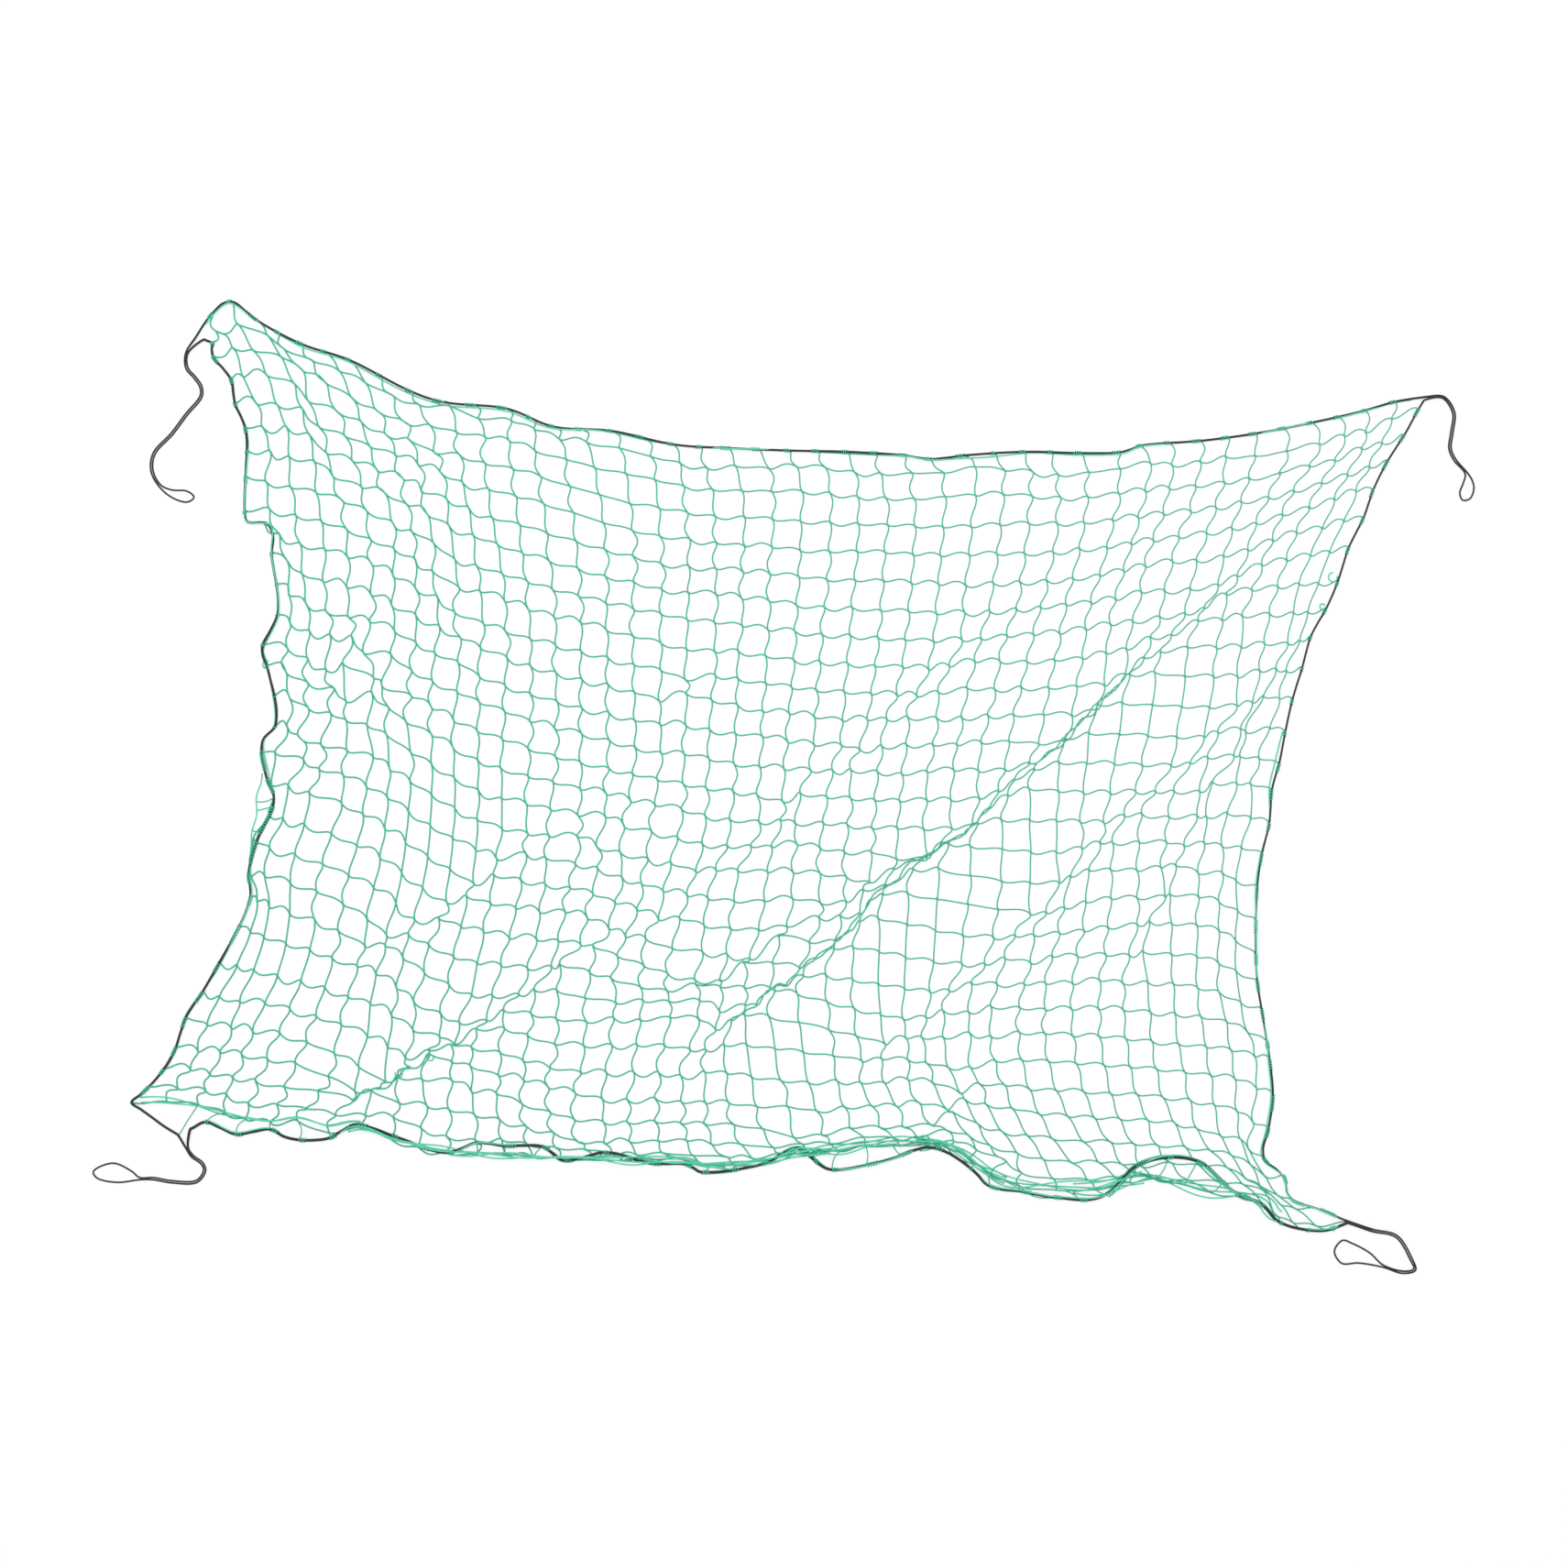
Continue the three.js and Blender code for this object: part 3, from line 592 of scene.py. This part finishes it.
# Twines: every row and every column is one strand that bends from knot to knot.
# A pair of values is for rows and columns unless its note says otherwise.
netTwine = {
    "sides": 6, "meshMm": 50.0, "sideMm": 49.5, "stepsPerBar": 10, "shortestBar": 1.0,
    "seed": 7, "twineSeeds": (31, 32),
    # the twine's strands open where it lies slack: diameters at the left and right end of the top,
    # then of the bottom
    "diameter": 2.5, "cornerDiameters": ((2.85, 2.15), (2.95, 2.3)),
    # how far the twines rise at a knot; how many degrees the knot lies off the row, and the spread
    "knotLift": (0.9, 1.71), "knotAngle": 45.0, "knotTurn": 12.0,
    # how far knots lie off the smooth sheet in mm, taut and slack, and the cut-off of that spread;
    # then the mean bar that counts as slack and as taut
    "knotScatter": (0.8, 4.0), "scatterMost": 1.6, "slackBar": (37.0, 47.0),
    "flowReach": 2,  # meshes each way over which the directions of the twines are evened out
    # a twine runs through a knot at a slant, steeper where it is slack;
    # the end slants are at the start and the end of each twine
    "slantLeast": 0.1, "slantMost": (0.9, 0.5), "endSlants": ((0.3, 0.9), (0.9, 0.3)),
    # share of a bar's spare length that the slants take, the rest being left to its bow
    "slantShare": 0.5, "bowMost": 9.0, "foldCalm": 0.7,
    # a slant uses up its square over 10 of a bar, a bow 2.44 times the square of its height over the bar
    "slantUse": 10.0, "bowUse": 2.44,
    # how much of a bow is shared with the bars beside it and how much is its own, the most of both,
    # and the shared waves' length in meshes
    "bowShares": (0.9, 0.35), "leanMost": 1.2, "bowWave": 4.5,
    # bows at the left side and, where more of the spare length stands up, at the right side
    "bowShow": (1.0, 0.4),
}
dice = np.random.default_rng(netTwine["seed"])
twineRadius = netTwine["diameter"] / 2

gridAcross, gridDown = np.meshgrid(np.arange(acrossEnd + 1.0), np.arange(downEnd + 1.0), indexing="ij")
gridPlaces = np.stack([gridAcross.ravel(), gridDown.ravel()], -1)
pickedPlaces, pickedSpots = pickedKnots()
plainSpot = bentSheet(pickedPlaces, pickedSpots - foldShift(pickedPlaces), gridPlaces)
plainSpot = (plainSpot + foldShift(gridPlaces)).reshape(acrossEnd + 1, downEnd + 1, 2)
inner = (gridAcross > 0) & (gridAcross < acrossEnd) & (gridDown > 0) & (gridDown < downEnd)
barSpans = [np.linalg.norm(np.gradient(plainSpot, axis=axis), axis=-1) for axis in (0, 1)]
slack, taut = netTwine["slackBar"]
tautShare = easeIn((sum(barSpans) / 2 - slack) / (taut - slack))
scatter = tautShare * netTwine["knotScatter"][0] + (1 - tautShare) * netTwine["knotScatter"][1]
for across, down, radius, astray in netLie["tangles"]:
    apart = np.hypot(gridAcross - across, gridDown - down) / radius
    scatter = np.maximum(scatter, astray * easeIn(netLie["tangleFade"] - apart))
stray = np.clip(dice.normal(size=plainSpot.shape), -netTwine["scatterMost"], netTwine["scatterMost"])
knotSpot = plainSpot + (scatter * inner)[..., None] * stray

# meshes that are drawn together or folded over lie higher
longWay = plainSpot[1:, 1:] - plainSpot[:-1, :-1]
crossWay = plainSpot[1:, :-1] - plainSpot[:-1, 1:]
meshArea = (longWay[..., 0] * crossWay[..., 1] - longWay[..., 1] * crossWay[..., 0]) / 2
meshOpen = np.clip(meshArea / (netLie["openShare"] * netTwine["meshMm"] ** 2), 0, 1)
meshOpen = np.pad(meshOpen, 1, mode="edge")
knotCrowd = 1 - (meshOpen[1:, 1:] + meshOpen[:-1, 1:] + meshOpen[1:, :-1] + meshOpen[:-1, :-1]) / 4
knotRise = netLie["foldLift"] * knotCrowd

# directions of rows and columns at the knots, from the wider lie in the open
# and from the next knots in a fold
reach = netTwine["flowReach"]
window = range(2 * reach + 1)
padded = np.pad(plainSpot, ((reach, reach), (reach, reach), (0, 0)), mode="reflect", reflect_type="odd")
evened = sum(padded[column:column + acrossEnd + 1, row:row + downEnd + 1]
             for column in window for row in window)
evened = evened / len(window) ** 2
rowWay, columnWay = (unit(np.gradient(evened, axis=axis)) for axis in (0, 1))
knotTurn = np.radians(netTwine["knotAngle"] + netTwine["knotTurn"] * dice.normal(size=gridAcross.shape))
dashWay = unit(rowWay * np.cos(knotTurn)[..., None] + columnWay * np.sin(knotTurn)[..., None])
share = knotCrowd[..., None]
rowFlow = unit(rowWay * (1 - share) + unit(np.gradient(plainSpot, axis=0)) * share)
columnFlow = unit(columnWay * (1 - share) + unit(np.gradient(plainSpot, axis=1)) * share)


def twinePaths(axis, flow, crossFlow):
    # points of all twines along one axis of the grid
    seed = netTwine["twineSeeds"][axis]
    dice = np.random.default_rng(seed)
    grids = (knotSpot, flow, crossFlow, knotCrowd, knotRise)
    spots, flow, crossFlow, crowd, rise = (np.moveaxis(grid, axis, 0) for grid in grids)
    chord = np.diff(spots, axis=0)
    span = np.maximum(np.linalg.norm(chord, axis=-1), netTwine["shortestBar"])
    spare = np.clip(netTwine["sideMm"] / span - 1, 0, 1)
    knotSpare = (np.concatenate([spare[:1], spare]) + np.concatenate([spare, spare[-1:]])) / 2
    slant = np.sqrt(netTwine["slantUse"] * netTwine["slantShare"] * knotSpare)
    slant = np.clip(slant, netTwine["slantLeast"], netTwine["slantMost"][axis])
    slant = slant * (1 - netTwine["foldCalm"] * crowd)
    slant[0], slant[-1] = netTwine["endSlants"][axis]
    through = unit(flow + slant[..., None] * crossFlow)
    calm = 1 - netTwine["foldCalm"] * np.maximum(crowd[:-1], crowd[1:])
    bow = span * np.sqrt(spare * (1 - netTwine["slantShare"]) / netTwine["bowUse"])
    shared, own = netTwine["bowShares"]
    lean = shared * wander(seed, netTwine["bowWave"])(*np.indices(span.shape))
    lean = np.clip(lean + own * dice.normal(size=span.shape), -netTwine["leanMost"], netTwine["leanMost"])
    leftShow, rightShow = netTwine["bowShow"]
    show = leftShow + (rightShow - leftShow) * np.moveaxis(gridAcross, axis, 0)[:-1] / acrossEnd
    bow = np.minimum(bow, netTwine["bowMost"]) * show * calm * lean
    part = np.linspace(0, 1, netTwine["stepsPerBar"] + 1)[:, None, None, None]
    rest = 1 - part
    arch = 16 * part ** 2 * rest ** 2  # 1 in the middle of a bar
    pull = span[..., None]
    path = spots[:-1] + chord * part * part * (3 - 2 * part) + pull * through[:-1] * part * rest ** 2
    path = path - pull * through[1:] * part * part * rest + sideways(unit(chord)) * bow[..., None] * arch
    part, rest, arch = part[..., 0], rest[..., 0], arch[..., 0]
    lift = netTwine["knotLift"][axis] * (1 - arch)
    path = withHeight(path, twineRadius + floorGap + rise[:-1] * rest + rise[1:] * part + lift)
    bars = np.moveaxis(path[:-1], 0, 1).reshape(-1, spots.shape[1], 3)
    bars = np.concatenate([bars, path[-1, -1:]])
    return [bars[:, twine] for twine in range(spots.shape[1])]


def twineRadii(axis):
    # radius at each point of each twine along one axis of the grid
    (topLeft, topRight), (bottomLeft, bottomRight) = netTwine["cornerDiameters"]
    meshes, twines = (acrossEnd, downEnd) if axis == 0 else (downEnd, acrossEnd)
    lengthwise = np.linspace(0, 1, meshes * netTwine["stepsPerBar"] + 1)
    lengthwise, twine = np.meshgrid(lengthwise, np.linspace(0, 1, twines + 1))
    fromLeft, fromTop = (lengthwise, twine) if axis == 0 else (twine, lengthwise)
    top = topLeft * (1 - fromLeft) + topRight * fromLeft
    bottom = bottomLeft * (1 - fromLeft) + bottomRight * fromLeft
    return (top * (1 - fromTop) + bottom * fromTop) / 2


# the top and the sides are left to the selvedge; the bottom edge is the last row
rowPaths, rowRadii = twinePaths(0, rowFlow, columnFlow)[1:], twineRadii(0)[1:]
columnPaths, columnRadii = twinePaths(1, columnFlow, rowFlow)[1:-1], twineRadii(1)[1:-1]
rowTwines = tubeObject("rowTwines", rowPaths, rowRadii, netTwine["sides"], twineMaterial)
columnTwines = tubeObject("columnTwines", columnPaths, columnRadii, netTwine["sides"], twineMaterial)
print("twines laid:", len(rowPaths), "rows and", len(columnPaths), "columns")

# Knots: the twine takes about one and a half turns round the place where a row and a column cross
netKnots = {
    "halfLength": 2.8, "turns": 1.6, "twine": 1.6, "steps": 12, "sides": 5, "height": 2.05,
    "wind": (0.4, 1.2),  # radius of the turns at the ends and in the middle
}


def knotPaths():
    reach = np.linspace(-1, 1, netKnots["steps"] + 1)
    least, most = netKnots["wind"]
    wind = least + (most - least) * np.sqrt(1 - reach ** 4)
    paths = []
    for column, row in zip(*np.nonzero(inner)):
        turn = np.pi * netKnots["turns"] * reach + dice.uniform(0, fullTurn)
        way = dashWay[column, row]
        spot = knotSpot[column, row] + way * (reach * netKnots["halfLength"])[:, None]
        spot = spot + sideways(way) * (wind * np.cos(turn))[:, None]
        paths.append(withHeight(spot, netKnots["height"] + knotRise[column, row] + wind * np.sin(turn)))
    return paths


knots = knotPaths()
knotRadii = [netKnots["twine"] / 2] * len(knots)
# knots take the lighter twine copy, painted light against the shade between their turns
twineKnots = tubeObject("twineKnots", knots, knotRadii, netKnots["sides"], litCopyTwineMaterial)
print("knots tied:", len(knots))

# Hitches: the turns that each twine takes round the cord where it meets it
edgeHitches = {
    "twine": 2.0, "pitch": 3.6, "proud": 0.75, "pointsPerTurn": 9, "leastTurns": 0.8, "leastSteps": 6,
    # meshes along the cord that the turns cover, at the sides by mesh down, and their spread
    "left": [(0, 0.3), (11, 0.1), (16, 0.1), (17, 0.6), (19, 0.7), (22, 0.4), (30, 0.3)],
    "right": [(0, 0.3), (8, 0.2), (12, 0.15), (14, 0.35), (30, 0.45)],
    "top": 0.24, "bottom": 0.22, "spread": (0.7, 1.3), "bottomSpread": (0.5, 1.5),
    "topFirst": 0.05, "rightLast": 29.9,  # meshes at which the turns stop short of a corner
    # twines that reach from the net's edge to a cord more than linkLeast mm away
    "linkLeast": 6.0, "linkBow": 0.2, "linkSteps": 8, "linkRise": 1.0,
    "leftHangLinks": (18.7, 19.0, 19.6),
}


def hitchPath(name, start, end):
    route = edgeCords["runs"][name][0][0]
    around = edgeCords["slackDiameter"][name] / 2 + edgeHitches["proud"]
    turns = max(abs(end - start) * netTwine["meshMm"] / edgeHitches["pitch"], edgeHitches["leastTurns"])
    steps = max(int(turns * edgeHitches["pointsPerTurn"]), edgeHitches["leastSteps"])
    part = np.linspace(0, 1, steps + 1)
    spot = along(route, start + (end - start) * part)
    way = unit(np.gradient(spot, axis=0))
    turn = fullTurn * turns * part + dice.uniform(0, fullTurn)
    spot = spot + sideways(way) * (around * np.cos(turn))[:, None]
    height = edgeCords["height"] + around * np.sin(turn)
    return withHeight(spot, np.maximum(height, edgeHitches["twine"] / 2))


def linkPath(edgeRoute, cordRoute, mesh):
    # a twine from the net's edge that reaches to the cord
    edge, cord = along(edgeRoute, np.array([mesh]))[0], along(cordRoute, np.array([mesh]))[0]
    gap = np.linalg.norm(cord - edge)
    part = np.linspace(0, 1, edgeHitches["linkSteps"] + 1)
    most, rise = edgeHitches["linkBow"], edgeHitches["linkRise"]
    bow = sideways(unit(cord - edge)) * gap * dice.uniform(-most, most)
    spot = edge + (cord - edge) * part[:, None] + bow * np.sin(np.pi * part)[:, None]
    return gap, withHeight(spot, twineRadius + rise + (edgeCords["height"] - rise) * part)


hitches = []
for mesh in range(2, acrossEnd):
    gap, link = linkPath(bottomEdge, bottomRoute, mesh)
    if gap > edgeHitches["linkLeast"]:
        hitches.append(link)
for mesh in range(1, acrossEnd):
    reach = edgeHitches["top"] * dice.uniform(*edgeHitches["spread"])
    hitches.append(hitchPath("top", mesh, max(mesh - reach, edgeHitches["topFirst"])))
for mesh in range(3, acrossEnd):
    reach = edgeHitches["bottom"] * dice.uniform(*edgeHitches["bottomSpread"])
    hitches.append(hitchPath("bottom", mesh, mesh + reach))
for mesh in range(1, downEnd):
    reach = np.interp(mesh, *np.array(edgeHitches["left"]).T) * dice.uniform(*edgeHitches["spread"])
    hitches.append(hitchPath("left", mesh, mesh + reach))
    reach = np.interp(mesh, *np.array(edgeHitches["right"]).T) * dice.uniform(*edgeHitches["spread"])
    hitches.append(hitchPath("right", mesh, min(mesh + reach, edgeHitches["rightLast"])))
for mesh in edgeHitches["leftHangLinks"]:
    hitches.append(linkPath(leftHang, leftRoute, mesh)[1])
hitchRadii = [edgeHitches["twine"] / 2] * len(hitches)
edgeHitchTwine = tubeObject("edgeHitches", hitches, hitchRadii, netTwine["sides"], twineMaterial)
print("hitches wound:", len(hitches))

# Selvedge: the edge strands of the net, loose along the cord and bunched at the bottom
selvedge = {
    "stepsPerMesh": 8, "rise": 5.0, "waveLength": 4.0, "weaveSeed": 51, "climbSeed": 101,
    "climbMean": 0.5, "climbSpread": 0.4,  # share of the rise at which a strand lies
    # route, from and to in meshes, strands, how far they lie to the left of the route and spread,
    # and their least height
    "stretches": [
        (topRoute, 0.6, 43.5, 1, -2.0, 1.5, 1.6),
        (leftRoute, 1.2, 29.6, 1, 1.5, 2.0, 1.6),
        (leftHang, 17.6, 20.6, 1, 0.0, 0.5, 1.6),
        (rightRoute, 12.0, 29.6, 1, -1.5, 1.5, 1.6),
        (bottomRoute, 7.4, 43.4, 1, 0.5, 1.5, 1.6),
        (bottomRoute, 3.2, 5.0, 1, 0.0, 2.2, 1.6),
        (bottomEdge, 0.3, 8.0, 2, 3.0, 5.0, 1.6),
        (bottomRoute, 34.0, 38.8, 2, 0.0, 2.8, 1.6),
        (bottomEdge, 7.6, 20.5, 4, 2.0, 4.0, 4.5),
        (bottomEdge, 18.6, 24.5, 5, 0.5, 3.0, 4.5),
        (bottomEdge, 23.3, 31.5, 4, 2.5, 5.5, 1.6),
        (bottomEdge, 28.0, 35.5, 3, 5.0, 7.0, 1.6),
        (bottomEdge, 33.4, 41.2, 3, 1.0, 5.0, 1.6),
    ],
    # curls of slack twine: x, y, radius, start angle and turn in degrees
    "curls": [
        (906, 309, 7.5, 20, -290), (889, 261, 4.5, 30, 330), (-622, -503, 6.0, 160, 310),
        (-570, -477, 5.0, 230, 330), (-838, 166, 6.5, 60, 250),
    ],
    "curlSteps": 16, "curlHeight": (2.2, 5.0),
}


def selvedgePaths():
    paths = []
    for route, start, end, strands, offset, spread, low in selvedge["stretches"]:
        mesh = np.linspace(start, end, int((end - start) * selvedge["stepsPerMesh"]) + 1)
        middle = along(route, mesh)
        aside = sideways(unit(np.gradient(middle, axis=0)))
        for strand in range(strands):
            weave = wander(selvedge["weaveSeed"] + len(paths), selvedge["waveLength"])(mesh, 0)
            climb = wander(selvedge["climbSeed"] + len(paths), selvedge["waveLength"])(mesh, 0)
            climb = easeIn(selvedge["climbMean"] + selvedge["climbSpread"] * climb)
            spot = middle + aside * (offset + spread * weave)[:, None]
            paths.append(withHeight(spot, low + selvedge["rise"] * climb))
    return paths


def curlPath(x, y, radius, start, turn):
    angle = np.radians(np.linspace(start, start + turn, selvedge["curlSteps"] + 1))
    spot = np.stack([x + radius * np.cos(angle), y + radius * np.sin(angle)], -1)
    return withHeight(spot, np.linspace(*selvedge["curlHeight"], len(angle)))


strands = selvedgePaths() + [curlPath(*curl) for curl in selvedge["curls"]]
strandRadii = [twineRadius] * len(strands)
# edge strands take the lighter twine copy, painted light against the shade where they bunch
selvedgeTwine = tubeObject("selvedgeTwine", strands, strandRadii, netTwine["sides"], litCopyTwineMaterial)
for piece in (rowTwines, columnTwines, twineKnots, edgeHitchTwine, selvedgeTwine):
    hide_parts("net")
print("edge strands laid:", len(strands))

# Plain pale floor and soft studio light
studio = {
    "floorSize": 40.0, "floor": "#858585", "floorRoughness": 0.9, "floorSpecular": 0.1, "floorGlow": 0.75,
    "light": "#ffffff", "skyStrength": 0.82, "lampPower": 95.0, "lampSize": 3.5,
    "lampAt": (-0.6, 1.6, 3.6), "lampTilt": (-0.42, -0.16, 0),
}

half = studio["floorSize"] / 2
floorMesh = bpy.data.meshes.new("studioFloor")
floorCorners = [(-half, -half, 0), (half, -half, 0), (half, half, 0), (-half, half, 0)]
floorMesh.from_pydata(floorCorners, [], [(0, 1, 2, 3)])
floorMaterial, floorTree = freshMaterial("paintedFloor")
floorShader = addNode(floorTree, "ShaderNodeBsdfPrincipled", {
    "Base Color": linearColour(studio["floor"]), "Roughness": studio["floorRoughness"],
    "Specular IOR Level": studio["floorSpecular"], "Emission Color": linearColour(studio["light"]),
    "Emission Strength": studio["floorGlow"]})
addNode(floorTree, "ShaderNodeOutputMaterial", {0: floorShader.outputs[0]})
floorMesh.materials.append(floorMaterial)
floor = bpy.data.objects.new("studioFloor", floorMesh)
bpy.context.scene.collection.objects.link(floor)

world = bpy.data.worlds.new("studio")
world.use_nodes = True
world.node_tree.nodes.clear()
sky = addNode(world.node_tree, "ShaderNodeBackground", {
    0: linearColour(studio["light"]), 1: studio["skyStrength"]})
addNode(world.node_tree, "ShaderNodeOutputWorld", {0: sky.outputs[0]})
bpy.context.scene.world = world

lamp = bpy.data.lights.new("softLamp", "AREA")
lamp.energy = studio["lampPower"]
lamp.size = studio["lampSize"]
lampObject = bpy.data.objects.new("softLamp", lamp)
lampObject.location = studio["lampAt"]
lampObject.rotation_euler = studio["lampTilt"]
bpy.context.scene.collection.objects.link(lampObject)
bpy.context.scene.view_settings.view_transform = "Standard"
print("studio set")
